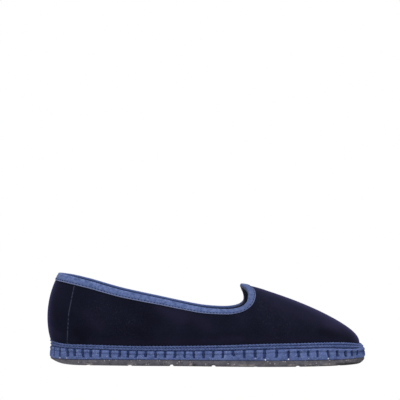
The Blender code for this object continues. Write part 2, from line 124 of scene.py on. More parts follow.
# Stitched band: slots and the drawn-in line below the ledge, and the padded end over the toe tip
SLOTS_PER_SIDE = 38
SLOT_CROWDING = 0.031
SLOT_WIDTH = 2.0
SLOT_DEPTH = 1.1
SLOT_DROP = (45.0, 75.0)
SLOT_BED = 0.95
SLOT_MIDDLE = 9.7
SLOT_HEIGHT = 7.0
LINE_DROP = 3.3
SLOT_FLOOR = 0.26
SLOT_MOUTH = 0.66
SLOT_PULL = 0.22
PULL_WIDTH = 2.6
TOE_PAD = 1.8
TOE_CREST = 4.6

# Distances from the toe tip over which the band's pad, the painted shade along its drawn line, its painted
# shade over the toe and the painted shade in its slots end
PAD_ENDS = (9.0, 24.0)
DRAWN_LINE_SHADE_ENDS = (20.0, 50.0)
SHADE_ENDS = (14.0, 46.0)
TOE_SLOT_SHADE_ENDS = (16.0, 52.0)

# Plan, crown line and ledge of the last along the shoe, and its edge by station
PLAN = table(
    "x lateral medial",
    (-97, 27.6, 27.6), (-60, 29.2, 27.8), (-25, 32.2, 28.4), (10, 37.6, 33.6), (32, 40.3, 38.4),
    (52, 41.2, 41.2),
)

CROWN = table(
    "x height",
    (-97, 87.2), (-60, 77.7), (-25, 67.7), (10, 65.3), (21, 65.6), (32, 64.9), (45, 61.8), (52, 59.4),
)

LEDGE = table(
    "x height",
    (-127, 14.6), (-110, 13.8), (-97, 13.4), (-60, 12.2), (-25, 12.1), (10, 12.7), (52, 14.1),
    (95, 14.7), (127, 13.2),
)

EDGE = table(
    "station welt fullness swell margin bevel round",
    (BACK, 18.3, 3, 5.4, 2.8, 13.5, 4.7), (-119, 17.4, 3, 4.9, 3, 11.5, 4),
    (-97, 16.9, 2.8, 4, 3.2, 6.5, 2.6), (-60, 15.9, 2.4, 2.8, 3.5, 2, 1.6),
    (-25, 16.1, 2.1, 2, 3.6, 1.8, 1.5), (10, 16.9, 1.8, 1.6, 3.6, 1.8, 1.5),
    (52, 18.5, 2, 1.2, 3.6, 1.8, 1.5), (100, 18.9, 2.5, 1, 4, 2.6, 2.2),
    (TIP, 15.6, 2.8, 0.9, 5, 5, 3.6),
)

# Collar from the back of the heel to the throat's peak: height, width of the tape, and how much further
# back the medial side is
COLLAR = table(
    "station height tape medial_back",
    (BACK, 74, 5.7, 0), (-117.5, 72.6, 5.7, 0),
    (-102, 69.8, 5.6, 0), (-70, 60.8, 5.4, 0),
    (-37, 53.7, 5.1, 0), (-5, 47, 4.6, 0),
    (12, 45.4, 4.2, 0), (21, 45.6, 4.2, 0.2),
    (28.8, 47.5, 4.3, 0.7), (33.4, 50.9, 4.6, 1.5),
    (35.3, 55.7, 5, 2.9), (35.3, 60.1, 5, 4),
    (33.4, 62.7, 5, 3.2),
)
# Tape and station of the throat's peak, and the row where the collar is lowest
PEAK_TAPE = 5.0
PEAK = 29.5
LOW_ROW = 6

# Seam near the back of the heel seen from the side, from the welt up to the tape, on both sides
HEEL_SEAM = table(
    "height x",
    (12.7, -113.4), (18.7, -113.2), (42.3, -111.8), (65.3, -107.4), (75.7, -105.2),
)
SEAM_STATIONS = (-120.0, -102.0)
SEAM_WIDTH = 0.34
SEAM_RISE = 0.30
SEAM_DIP = 0.16
DIP_AWAY = 1.3
DIP_WIDTH = 0.8
SEAM_SEARCH = 70.0

# Soft folds of the velvet seen from the side: ends, depth and half width of the trough
FOLDS = table(
    "side x0 z0 x1 z1 depth width",
    (-1, -38, 50.7, -15, 29.7, 0.55, 5), (-1, 2, 21.7, 30, 23.2, 0.30, 2.6),
    (-1, -88, 22.7, -70, 20.2, 0.25, 2.4), (-1, -122, 29.7, -114, 23.7, 0.28, 2.2),
    (-1, 40, 44.7, 62, 30.7, 0.30, 6), (1, -34, 46.7, -16, 30.7, 0.50, 5),
    (1, 8, 22.7, 36, 24.2, 0.30, 2.8), (1, 40, 43.7, 60, 31.7, 0.30, 6),
)

# Strokes of painted highlight on the nap or, below zero, painted shade, and where lint clings to it
PAINTED_LIGHT_AND_LINT_STROKES = table(
    "side x0 z0 x1 z1 width light lint",
    (-1, -36, 49.5, -20, 39.5, 5.5, 0.9, 0), (-1, -11, 39.5, 0, 34.5, 5, 0.4, 0),
    (-1, -97, 41, -87, 31, 5, 0.35, 0.2), (-1, -86, 46, -60, 30, 12, 0.08, 0.7),
    (-1, -104, 27, -101, 22, 4.5, -0.5, 0), (-1, -58, 28, -50, 24, 5, -0.4, 0.3),
    (-1, -48, 40, -38, 35, 4, -0.3, 0), (-1, 13, 23.5, 28, 23.5, 2.5, 0.35, 0),
    (-1, 56, 51, 104, 32.5, 4, 0.28, 0), (-1, 99, 33.8, 108, 30.5, 4, 0.5, 0),
    (-1, 94, 27.5, 117, 22, 3.4, -0.5, 0), (-1, 46, 54, 62, 28, 13, 0.05, 0.7),
    (-1, -127, 29, -120, 24, 2.5, 0.5, 0), (-1, -108, 18.5, 112, 20.5, 4, 0.32, 0),
    (1, -30, 48, -14, 38, 5.5, 0.7, 0.2), (1, 56, 50, 100, 33, 4.5, 0.3, 0),
    (1, 84, 30, 112, 23, 4, -0.5, 0), (1, -90, 44, -70, 30, 8, 0.2, 0.6),
)


def cubic(u, one, two, start, end):
    """Cubic from one to two with slopes start and end, at shares u of the way."""
    first = one * (1 + 2 * u) * (1 - u) ** 2 + start * u * (1 - u) ** 2
    return first + two * u * u * (3 - 2 * u) - end * u * u * (1 - u)


def smooth(rows, x, column, flat_ends=False):
    """Values of a table's column at x, on a cubic through its rows."""
    xs = np.array([row[0] for row in rows])
    ys = np.array([getattr(row, column) for row in rows])
    slopes = np.zeros(len(xs))
    slopes[1:-1] = (ys[2:] - ys[:-2]) / (xs[2:] - xs[:-2])
    if not flat_ends:
        slopes[0] = (ys[1] - ys[0]) / (xs[1] - xs[0])
        slopes[-1] = (ys[-1] - ys[-2]) / (xs[-1] - xs[-2])
    x = np.clip(x, xs[0], xs[-1])
    i = np.clip(np.searchsorted(xs, x, side="right") - 1, 0, len(xs) - 2)
    span = xs[i + 1] - xs[i]
    return cubic((x - xs[i]) / span, ys[i], ys[i + 1], slopes[i] * span, slopes[i + 1] * span)


def step_up(value, low, high):
    """Soft step from 0 at low to 1 at high."""
    t = np.clip((value - low) / (high - low), 0, 1)
    return t * t * (3 - 2 * t)


def edge(station, column):
    return smooth(EDGE, station, column, flat_ends=True)


def ledge(x):
    return smooth(LEDGE, x, "height", flat_ends=True)


def swing(x):
    return TOE_SWING * np.maximum(0.0, (x - BALL_X) / TOE_REACH) ** 2


def half_width(x, side):
    lateral = smooth(PLAN, x, "lateral", flat_ends=True)
    return np.where(side < 0, lateral, smooth(PLAN, x, "medial", flat_ends=True))


def feather(station, side):
    """Feather line as x and y without the swing, and x of the axis that the wall leans towards."""
    heel, toe = station < HEEL_X, station > BALL_X
    turn = np.where(heel, (HEEL_X - station) / HEEL_ARC, np.where(toe, (station - BALL_X) / TOE_ARC, 0.0))
    turn = RIGHT_ANGLE * np.clip(turn, 0, 1)
    axis = np.where(heel, HEEL_X, np.where(toe, BALL_X, station))
    reach = np.where(heel, -HEEL_REACH, np.where(toe, TOE_REACH, 0.0))
    ahead = np.abs(np.sin(turn)) ** (2 / PLAN_POWER)
    aside = np.abs(np.cos(turn)) ** (2 / PLAN_POWER)
    return axis + reach * ahead, side * half_width(axis, side) * aside, axis


def last_points(station, across):
    """Points of the last: across is 0 on the lateral feather line, 1 on the crown, 2 on the medial."""
    station, across = np.broadcast_arrays(np.asarray(station, float), np.asarray(across, float))
    past = (station < BACK) | (station > TIP)
    station = np.where(station < BACK, 2 * BACK - station, station)
    station = np.where(station > TIP, 2 * TIP - station, station)
    across = np.where(past, 2.0 - across, across)
    side = np.where(across <= 1.0, -1.0, 1.0)
    lift = RIGHT_ANGLE * np.clip(np.where(across <= 1.0, across, 2.0 - across), 0, 1)
    power = 2 / edge(station, "fullness")
    out = np.abs(np.cos(lift)) ** power
    rise = np.sin(lift) ** power
    foot_x, foot_y, axis = feather(station, side)
    run_x, run_y = foot_x - axis, foot_y
    size = np.hypot(run_x, run_y)
    swell = edge(station, "swell") * np.sin(math.pi * rise ** SWELL_POWER)
    x = axis + run_x * out + run_x / size * swell
    y = run_y * out + run_y / size * swell
    front = smooth(CROWN, BALL_X, "height") - TOE_SLOPE * (x - BALL_X)
    crown = np.where(station > BALL_X, front, smooth(CROWN, axis, "height"))
    base = ledge(foot_x) + FIT
    return np.stack([x, y + swing(x), base + (crown - base) * rise], -1)


def unit(vectors):
    return vectors / np.maximum(np.linalg.norm(vectors, axis=-1, keepdims=True), 1e-12)


def last_normals(station, across):
    """Outward directions square to the last."""
    step, tilt = 0.2, 0.002
    along = last_points(station + step, across) - last_points(station - step, across)
    low, high = np.maximum(across - tilt, 0.0), np.minimum(across + tilt, 2.0)
    over = last_points(station, high) - last_points(station, low)
    return unit(np.cross(along, over))


def across_at(station, height):
    """Lateral across values where the last reaches a height."""
    low, high = np.zeros(np.shape(station)), np.ones(np.shape(station))
    for _ in range(40):
        middle = 0.5 * (low + high)
        under = last_points(station, middle)[..., 2] < height
        low, high = np.where(under, middle, low), np.where(under, high, middle)
    return 0.5 * (low + high)


def place_at(x, y):
    """Station and across above places in plan ahead of the heel's axis, without the swing."""
    side = np.where(y <= 0, -1.0, 1.0)
    toe = x > BALL_X
    ahead = np.maximum(x - BALL_X, 0.0) / TOE_REACH
    aside = np.abs(y) / half_width(np.minimum(x, BALL_X), side)
    turn = np.arctan2(ahead ** (PLAN_POWER / 2), aside ** (PLAN_POWER / 2))
    station = np.where(toe, BALL_X + TOE_ARC * turn / RIGHT_ANGLE, x)
    both = (ahead ** PLAN_POWER + aside ** PLAN_POWER) ** (1 / PLAN_POWER)
    out = np.minimum(np.where(toe, both, aside), 1.0)
    across = np.arccos(out ** (edge(station, "fullness") / 2)) / RIGHT_ANGLE
    return station, np.where(side < 0, across, 2.0 - across)


def run_along(points):
    """Length along a row of points up to each of them."""
    return np.append(0.0, np.cumsum(np.linalg.norm(np.diff(points, axis=0), axis=1)))


def collar_nodes():
    """Nodes of the collar, up to the peak and back down the medial side, and lengths to them."""
    station, height, tape, back = np.array(COLLAR).T
    inner = station - back
    columns = (
        (station, PEAK, inner),
        (across_at(station, height), 1.0, 2 - across_at(inner, height)),
        (height, last_points(PEAK, 1.0)[2], height),
        (tape, PEAK_TAPE, tape),
    )
    nodes = np.stack([np.concatenate([up, [peak], down[::-1]]) for up, peak, down in columns])
    return nodes, run_along(last_points(nodes[0], nodes[1]))


def collar_at(stops):
    """Station, across and tape width at lengths along the collar."""
    nodes, lengths = collar_nodes()
    before, after = nodes[:, 1].copy(), nodes[:, -2].copy()
    before[0], after[0] = 2 * BACK - before[0], 2 * BACK - after[0]
    line = np.column_stack([before, nodes, after])
    keys = np.concatenate([[-lengths[1]], lengths, [2 * lengths[-1] - lengths[-2]]])
    i = np.clip(np.searchsorted(keys, stops, side="right") - 1, 1, nodes.shape[1] - 1)
    span = keys[i + 1] - keys[i]
    start = (line[:, i + 1] - line[:, i - 1]) / (keys[i + 1] - keys[i - 1]) * span
    end = (line[:, i + 2] - line[:, i]) / (keys[i + 2] - keys[i]) * span
    station, across, height, tape = cubic((stops - keys[i]) / span, line[:, i], line[:, i + 1], start, end)
    share = across_at(station, height)
    across = np.where(stops <= lengths[LOW_ROW], share, across)
    return station, np.where(stops >= lengths[-1 - LOW_ROW], 2 - share, across), tape


def collar_ring(heel, quarter, vamp, extra=()):
    """Foot station, top station and across of columns once round the upper, lateral side first."""
    _, lengths = collar_nodes()
    low_station = COLLAR[LOW_ROW].station
    halves = []
    for side in (-1, 1):
        marks = lengths if side < 0 else lengths[-1] - lengths[::-1]
        seat, low, far = marks[2], marks[LOW_ROW], marks[len(COLLAR)]
        stops = np.unique(np.concatenate([
            np.linspace(0, seat, heel + 1), np.linspace(seat, low, quarter + 1),
            np.linspace(low, far, vamp + 1), np.asarray(extra, float)]))
        station, across, _ = collar_at(stops if side < 0 else lengths[-1] - stops)
        ahead = np.maximum(stops - low, 0.0)
        fan = TIP - low_station - (far - low)
        foot = np.where(stops > low, low_station + ahead + fan * (ahead / (far - low)) ** 1.5, station)
        half = np.stack([np.clip(foot, BACK, TIP), station, across])
        halves.append(half if side < 0 else half[:, -2:0:-1])
    return np.concatenate(halves, axis=1)


def wall_places(foot, top, across, shares):
    """Station and across of a grid of the wall: rows by shares of the way from foot to collar."""
    shares = np.asarray(shares)[:, None]
    side = np.where(across <= 1.0, -1.0, 1.0)
    tilt = np.cos(RIGHT_ANGLE * np.where(side < 0, across, 2 - across))
    fullness = edge(foot, "fullness")
    lift = np.arccos((1 - (1 - tilt ** (2 / fullness)) * shares) ** (fullness / 2)) / RIGHT_ANGLE
    start_x, start_y, _ = feather(foot, side)
    foot_x, foot_y, axis = feather(top, side)
    out = np.abs(tilt) ** (2 / edge(top, "fullness"))
    end_x, end_y = axis + (foot_x - axis) * out, foot_y * out
    y = start_y + (end_y - start_y) * shares
    y = np.where(np.abs(y) < 1e-9, 0.0, y)
    station, over = place_at(start_x + (end_x - start_x) * shares, y)
    heel = np.broadcast_to(foot < HEEL_X, station.shape)
    return np.where(heel, foot, station), np.where(heel, np.where(side < 0, lift, 2 - lift), over)


def wall_grid(rows, *columns):
    """Points of the upper's wall in rows from foot to collar, and each row's share of the way up."""
    shares = np.linspace(0, 1, rows) ** 2
    return last_points(*wall_places(*collar_ring(*columns), shares)), shares


def outline(station, side, margin):
    """Plan of a line that runs outside the feather line by a margin."""
    step = 0.4

    def line(place):
        x, y, _ = feather(place, side)
        return np.stack([x, y + swing(x)], -1)

    tangent = unit(line(np.clip(station + step, BACK, TIP)) - line(np.clip(station - step, BACK, TIP)))
    at_back, at_tip = station <= BACK + step, station >= TIP - step
    tangent_x = np.where(at_back | at_tip, 0.0, tangent[..., 0])
    tangent_y = np.where(at_back, side, np.where(at_tip, -side, tangent[..., 1]))
    normal = np.stack([tangent_y, -tangent_x], -1) * -np.asarray(side)[..., None]
    return line(station) + normal * np.asarray(margin)[..., None]


def raised(plan, height):
    """Plan points at a height."""
    return np.concatenate([plan, np.broadcast_to(height, plan.shape[:-1])[..., None]], -1)


def edge_stations(side, shares):
    """Stations on one side of the sole's edge at shares of its length, and that length."""
    grid = np.linspace(BACK, TIP, 1601)
    run = run_along(outline(grid, side, edge(grid, "margin")))
    return np.interp(np.asarray(shares) * run[-1], run, grid), run[-1]


def wall_reach(station, side, height):
    """How far outside the feather line the upper's wall is at a height."""
    share = across_at(station, height)
    point = last_points(station, np.where(side < 0, share, 2 - share))
    line = outline(station, side, 0.0)
    out = outline(station, side, 1.0) - line
    return np.sum((point[..., :2] - line) * out, -1)


def walk(station, across, direction, length):
    """Where short straight walks along the last end, as stations and across values."""
    target = last_points(station, across) + direction * length
    step, tilt = 0.1, 0.002
    for _ in range(6):
        ahead = (last_points(station + step, across) - last_points(station - step, across)) / (2 * step)
        over = (last_points(station, across + tilt) - last_points(station, across - tilt)) / (2 * tilt)
        miss = target - last_points(station, across)
        size, mixed, rise = np.sum(ahead ** 2, -1), np.sum(ahead * over, -1), np.sum(over ** 2, -1)
        along, up = np.sum(ahead * miss, -1), np.sum(over * miss, -1)
        det = size * rise - mixed ** 2
        station = station + (along * rise - up * mixed) / det
        across = across + (up * size - along * mixed) / det
    return station, across


def ring_run(points):
    """Length along a closed row of points up to each, the whole length and the directions."""
    steps = np.linalg.norm(np.roll(points, -1, axis=0) - points, axis=1)
    tangent = unit(np.roll(points, -1, axis=0) - np.roll(points, 1, axis=0))
    return np.append(0.0, np.cumsum(steps))[:-1], steps.sum(), tangent


def grid_normals(grid):
    """Outward directions of a grid whose columns close in a ring."""
    along = np.roll(grid, -1, axis=1) - np.roll(grid, 1, axis=1)
    return unit(np.cross(along, np.gradient(grid, axis=0)))


def grid_faces(rows, columns, closed_rows=False, closed_columns=True, first=0):
    """Quads of a grid of points stored row by row."""
    row = np.arange(rows if closed_rows else rows - 1)[:, None]
    column = np.arange(columns if closed_columns else columns - 1)[None, :]
    above, beside = (row + 1) % rows, (column + 1) % columns
    quads = np.stack(np.broadcast_arrays(
        row * columns + column, row * columns + beside,
        above * columns + beside, above * columns + column), -1)
    return (quads.reshape(-1, 4) + first).tolist()


def add_object(name, data):
    added = bpy.data.objects.new(name, data)
    bpy.context.scene.collection.objects.link(added)
    return added


def make_piece(name, points, faces, material, replaces=None, marks=None, weld=False):
    """Adds a smooth mesh that rides the shoe; marks are values of its points for the material."""
    mesh = bpy.data.meshes.new(name)
    mesh.from_pydata((np.asarray(points, float).reshape(-1, 3) * MM).tolist(), [], faces)
    for mark, values in (marks or {}).items():
        layer = mesh.attributes.new(mark, "FLOAT", "POINT")
        layer.data.foreach_set("value", np.asarray(values, np.float32).ravel())
    work = bmesh.new()
    work.from_mesh(mesh)
    if weld:
        bmesh.ops.remove_doubles(work, verts=work.verts, dist=1e-6)
    bmesh.ops.recalc_face_normals(work, faces=work.faces)
    work.to_mesh(mesh)
    work.free()
    mesh.shade_smooth()
    mesh.materials.append(material)
    piece = add_object(name, mesh)
    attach(piece, "root")
    if replaces:
        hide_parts(replaces)


def make_tube(name, rows, material, replaces=None, marks=None):
    """Adds a closed skin through rows of points, from the last row back to the first."""
    faces = grid_faces(len(rows), len(rows[0]), closed_rows=True)
    make_piece(name, rows, faces, material, replaces, marks)


def make_shell(name, outer, inner, material, replaces=None, marks=None):
    """Adds a closed skin between an outer and an inner grid, with marks on its outer side."""
    marks = {mark: np.concatenate([share, np.zeros(share.shape)]) for mark, share in (marks or {}).items()}
    make_tube(name, np.concatenate([outer, inner[::-1]]), material, replaces, marks)


def along_stroke(points, stroke):
    """Share along a stroke, offset from its start, its run, and which points are on its side."""
    x, y, z = np.moveaxis(points, -1, 0)
    run = np.array([stroke.x1 - stroke.x0, stroke.z1 - stroke.z0])
    offset = np.stack([x - stroke.x0, z - stroke.z0])
    return (offset[0] * run[0] + offset[1] * run[1]) / (run @ run), offset, run, y * stroke.side > 0


def fold_relief(points):
    """Height of the velvet's soft folds at points of the wall."""
    relief = np.zeros(points.shape[:-1])
    for fold in FOLDS:
        along, offset, run, here = along_stroke(points, fold)
        aside = (offset[1] * run[0] - offset[0] * run[1]) / np.hypot(*run) / fold.width
        taper = step_up(along, -0.15, 0.3) * (1 - step_up(along, 0.7, 1.15))
        shape = 0.7 * np.exp(-(aside - 1.7) ** 2) - np.exp(-aside ** 2)
        relief += np.where(here, fold.depth * taper * shape, 0.0)
    return relief


def painted_light_and_lint_marks(points):
    """Shares of painted highlight, painted shade and lint at points of the wall."""
    light, dark, lint = np.zeros((3, *points.shape[:-1]))
    for nap in PAINTED_LIGHT_AND_LINT_STROKES:
        along, offset, run, here = along_stroke(points, nap)
        away = np.hypot(*(offset - run[:, None, None] * np.clip(along, 0, 1)))
        spot = np.where(here, np.exp(-(away / nap.width) ** 2), 0.0)
        light += spot * max(nap.light, 0.0)
        dark += spot * max(-nap.light, 0.0)
        lint = np.maximum(lint, spot * nap.lint)
    return {"light": np.clip(light, 0, 1), "dark": np.clip(dark, 0, 1), "lint": lint}


class Finish:
    """A material's node tree, with short calls that add nodes and join them."""

    def __init__(self, name, sockets):
        self.material = bpy.data.materials.new(name)
        self.material.use_nodes = True
        self.tree = self.material.node_tree
        self.shader = self.tree.nodes["Principled BSDF"]
        self.join(self.shader, sockets)

    def join(self, node, inputs):
        for key, value in inputs.items():
            if isinstance(value, bpy.types.NodeSocket):
                self.tree.links.new(value, node.inputs[key])
            else:
                node.inputs[key].default_value = value

    def node(self, kind, inputs, **settings):
        made = self.tree.nodes.new("ShaderNode" + kind)
        for key, value in settings.items():
            setattr(made, key, value)
        self.join(made, inputs)
        return made

    def place(self, stretch=(1.0, 1.0, 1.0)):
        """Place on the shoe in metres, stretched."""
        own = self.node("TexCoord", {}).outputs["Object"]
        return self.node("Mapping", {"Vector": own, "Scale": stretch}).outputs["Vector"]

    def mark(self, name):
        return self.node("Attribute", {}, attribute_name=name).outputs["Fac"]

    def noise(self, place, per_metre, detail=2.0, roughness=0.5):
        inputs = {"Vector": place, "Scale": per_metre, "Detail": detail, "Roughness": roughness}
        return self.node("TexNoise", inputs).outputs["Fac"]

    def ramp(self, value, *stops):
        """Colours at stops of a value; a plain number is a grey."""
        made = self.node("ValToRGB", {"Fac": value})
        elements = made.color_ramp.elements
        while len(elements) < len(stops):
            elements.new(0.5)
        for element, (position, tone) in zip(elements, stops):
            element.position = position
            element.color = (tone, tone, tone, 1.0) if isinstance(tone, float) else tone
        return made.outputs["Color"]

    def coats(self, base, *coats):
        """Colours laid over a base, each by a share or by the mesh's mark of that name."""
        for share, tone in coats:
            share = self.mark(share) if isinstance(share, str) else share
            base = self.node("Mix", {0: share, 6: base, 7: tone}, data_type="RGBA").outputs[2]
        return base

    def sums(self, kind, one, two):
        return self.node("Math", {0: one, 1: two}, operation=kind).outputs["Value"]

    def bump(self, height, strength, distance, under=None):
        inputs = {"Height": height, "Strength": strength, "Distance": distance * MM}
        if under is not None:
            inputs["Normal"] = under
        return self.node("Bump", inputs).outputs["Normal"]

    def done(self, base, normal):
        self.join(self.shader, {"Base Color": base, "Normal": normal})
        return self.material


def shade(level):
    """Linear value of an sRGB level from 0 to 255."""
    level /= 255.0
    return level / 12.92 if level <= 0.04045 else ((level + 0.055) / 1.055) ** 2.4


def colour(*levels):
    return (*map(shade, levels), 1.0)


def velvet_finish():
    look = Finish("velvet_pile", {
        "Roughness": 0.95, "Specular IOR Level": 0.02, "Sheen Weight": 0.26,
        "Sheen Roughness": 0.34, "Sheen Tint": (0.28, 0.25, 0.72, 1.0),
    })
    place = look.place()
    nap = look.noise(place, 55.0, detail=3.0)
    fine = look.noise(place, 1400.0, detail=1.0)
    bits = look.ramp(look.noise(place, 1150.0, detail=0.0), (0.69, 0.0), (0.78, 0.8))
    dashes = look.noise(look.place((150.0, 150.0, 620.0)), 1.0, detail=0.0)
    broken = look.ramp(dashes, (0.40, 0.25), (0.54, 1.0))
    base = look.coats(
        look.ramp(nap, (0.32, colour(12, 13, 22)), (0.70, colour(18, 19, 31))),
        (look.ramp(fine, (0.35, 0.0), (0.75, 0.55)), colour(25, 26, 45)),
        # Painted highlight and painted shade laid on the nap by the strokes
        ("light", colour(27, 26, 44)), ("dark", colour(8, 9, 15)),
        (look.sums("MULTIPLY", look.mark("lint"), bits), colour(44, 44, 56)),
        # Lighter line at the heel seam: painted highlight where the pile's edge catches light, broken into
        # dashes
        (look.sums("MULTIPLY", look.mark("seam"), broken), colour(56, 59, 78)))
    return look.done(base, look.bump(fine, 0.35, 0.25, look.bump(look.noise(place, 260.0), 0.25, 0.5)))


def cloth_finish(name, dark, light, weave=1.3):
    look = Finish(name, {"Roughness": 0.92, "Specular IOR Level": 0.15})
    grain = look.noise(look.place(), 900.0 / weave)
    return look.done(look.ramp(grain, (0.3, dark), (0.7, light)), look.bump(grain, 0.4, 0.3))


def tape_finish():
    look = Finish("grosgrain", {
        "Roughness": 0.75, "Specular IOR Level": 0.2, "Sheen Weight": 0.05,
        "Sheen Roughness": 0.4, "Sheen Tint": (0.6, 0.7, 1.0, 1.0),
    })
    mottle = look.noise(look.place(), 420.0, detail=3.0)
    base = look.coats(
        look.ramp(mottle, (0.32, colour(54, 71, 113)), (0.70, colour(89, 104, 149))),
        # Painted shade in the sewn trough, on the outer face towards the throat, and on the inner face
        ("lip", colour(100, 109, 142)), ("stitch_row", colour(66, 81, 122)), ("front", colour(44, 57, 90)),
        ("inside", colour(49, 65, 108)), ("throat", colour(80, 86, 106)))
    turn = look.sums("MULTIPLY", look.mark("run"), FULL_TURN / TAPE_RIB)
    return look.done(base, look.bump(look.sums("SINE", turn, 0.0), 0.22, 0.12))


def denim_finish():
    look = Finish("denim", {"Roughness": 0.93, "Specular IOR Level": 0.12})
    place = look.place()
    mottle = look.noise(place, 330.0, detail=4.0, roughness=0.65)
    fibre = look.noise(look.place((300.0, 300.0, 1500.0)), 1.0)
    patch = look.noise(place, 130.0, detail=1.0)
    fluff = look.noise(place, 1250.0, detail=0.0)
    base = look.coats(
        look.ramp(mottle, (0.30, colour(54, 68, 112)), (0.52, colour(68, 83, 128)),
                  (0.74, colour(88, 102, 146))),
        (look.ramp(fibre, (0.45, 0.0), (0.8, 0.5)), colour(104, 117, 156)),
        (look.ramp(patch, (0.42, 0.0), (0.66, 0.42)), colour(96, 111, 160)),
        (look.ramp(fluff, (0.66, 0.0), (0.76, 0.6)), colour(134, 144, 176)),
        # Painted shade in the slots, along the drawn-in line and over the toe, darker in the slots near the
        # toe tip
        ("band_shade", colour(40, 54, 96)), ("toe_slot_shade", colour(18, 27, 54)))
    return look.done(base, look.bump(fibre, 0.35, 0.2, look.bump(mottle, 0.35, 0.4)))


def yarn_finish(name, dark, light):
    look = Finish(name, {"Roughness": 0.9, "Specular IOR Level": 0.15})
    place = look.place()
    base = look.ramp(look.noise(place, 520.0, detail=3.0), (0.3, dark), (0.72, light))
    return look.done(base, look.bump(look.noise(place, 2400.0), 0.35, 0.15))


def rubber_finish():
    look = Finish("recycled_rubber", {"Roughness": 0.88, "Specular IOR Level": 0.2})
    place = look.place()
    cloud = look.noise(place, 240.0, detail=4.0, roughness=0.6)
    specks = look.node("TexVoronoi", {"Vector": place, "Scale": 560.0, "Randomness": 1.0})
    spot = look.ramp(specks.outputs["Distance"], (0.16, 1.0), (0.34, 0.0))
    kind = look.node("SeparateColor", {"Color": specks.outputs["Color"]})
    pale = look.sums("MULTIPLY", spot, look.sums("GREATER_THAN", kind.outputs["Red"], 0.72))
    dark = look.sums("MULTIPLY", spot, look.sums("LESS_THAN", kind.outputs["Red"], 0.30))
    chalk = look.sums("MULTIPLY", look.mark("pale"), look.ramp(cloud, (0.38, 0.1), (0.6, 1.0)))
    base = look.coats(
        look.ramp(cloud, (0.30, colour(72, 70, 78)), (0.55, colour(88, 86, 94)),
                  (0.76, colour(106, 103, 110))),
        (pale, colour(158, 152, 156)), (dark, colour(52, 50, 56)),
        # Painted shade near the floor, underneath and at the toe, and the dark nicks
        ("lower", colour(29, 27, 28)), (chalk, colour(186, 172, 164)))
    return look.done(base, look.bump(specks.outputs["Distance"], 0.35, 0.25, look.bump(cloud, 0.5, 0.5)))


def build_velvet(material):
    """Velvet wall with its heel seam and soft folds, and a thin back to it."""
    reach = np.linspace(0, SEAM_SEARCH, 200)
    extra = np.interp(np.linspace(*SEAM_STATIONS, 70), collar_at(reach)[0], reach)
    grid, shares = wall_grid(*VELVET_GRID, extra)
    out = grid_normals(grid)
    away = np.abs(grid[..., 0] - np.interp(grid[..., 2], *np.array(HEEL_SEAM).T))
    seam = np.exp(-(away / SEAM_WIDTH) ** 2)
    drawn_in = SEAM_DIP * np.exp(-((away - DIP_AWAY) / DIP_WIDTH) ** 2)
    fade = step_up(shares, 0, 0.004) * (1 - 0.8 * step_up(shares, 0.9, 1))
    relief = (fold_relief(grid) + SEAM_RISE * seam - drawn_in) * fade[:, None]
    make_shell("velvet_upper", grid + out * relief[..., None], grid - out * (WALL - LINING),
               material, "upper", {"seam": seam, **painted_light_and_lint_marks(grid)})


def build_lining(material):
    """Lining on the inner side of the upper."""
    grid, _ = wall_grid(*LINING_GRID)
    out = grid_normals(grid)
    make_shell("lining", grid - out * (WALL - LINING + 0.05), grid - out * WALL, material)


# Outer face of the tape from its lower edge to the fold: share of its width, thickness, and how far
# the row belongs to the pale lip and to the sewn trough, which takes painted shade
TAPE_FACE = table(
    "down thick lip stitch_row",
    (1.00, 0.25, 1, 0), (0.985, 0.54, 1, 0),
    (0.94, 0.68, 0.9, 0), (0.88, 0.64, 0.4, 0.2),
    (0.83, 0.45, 0, 0.9), (0.77, 0.43, 0, 1),
    (0.71, 0.56, 0, 0.4), (0.60, 0.70, 0, 0),
    (0.44, 0.76, 0, 0), (0.28, 0.74, 0, 0),
    (0.12, 0.68, 0, 0),
)
# Inner face from the fold down and back up on the wall: share of its width and thickness
TAPE_BACK = (
    (0.12, 0.64), (0.3, 0.7), (0.5, 0.7), (0.7, 0.62), (0.79, 0.45), (0.88, 0.62), (0.97, 0.6), (1.0, 0.25),
    (1.0, 0.0), (0.5, 0.0), (0.0, 0.0),
)
# Stations over which the tape fills out from the back of the heel, takes painted shade in front and greys
# inside
TAPE_FILLS = (-132.0, -112.0)
TAPE_FRONT_SHADE = (8.0, 34.0)
TAPE_GREYS = (20.0, 33.0)

# Gap under the tape, its thickness at the fold, its ribs and the row of stitches
TAPE_BED = 0.1
TAPE_SHOULDER = 0.62
TAPE_RIB = 0.75
TAPE_STITCH = 0.79
STITCH_PITCH = 2.6
STITCH_LENGTH = 1.40
STITCH_RADIUS = 0.28
STITCH_OUTSIDE = 0.42
STITCH_INSIDE = 0.46

# Half-section of a short thread: place along it and thickness
BEAD = np.array([
    (-1.0, 0.25), (-0.88, 0.68), (-0.6, 0.95), (0.0, 1.0), (0.6, 0.95), (0.88, 0.68), (1.0, 0.25),
])

Tape = namedtuple("Tape", "station across width top normal tangent down run length")


def tape_frames(count):
    """Collar at an even pitch, with the directions that the tape is laid along."""
    whole = collar_nodes()[1][-1]
    station, across, width = collar_at(np.arange(count) * whole / count)
    top = last_points(station, across)
    normal = last_normals(station, across)
    run, length, tangent = ring_run(top)
    return Tape(station, across, width, top, normal, tangent, unit(np.cross(tangent, normal)), run, length)


def tape_layer(tape, share, lift, slip=0.0):
    """Row of the tape at a share of its width below the collar's edge, lifted off the wall."""
    place = walk(tape.station, tape.across, tape.down, (share * tape.width + slip)[:, None])
    return last_points(*place) + last_normals(*place) * np.broadcast_to(lift, tape.run.shape)[:, None]


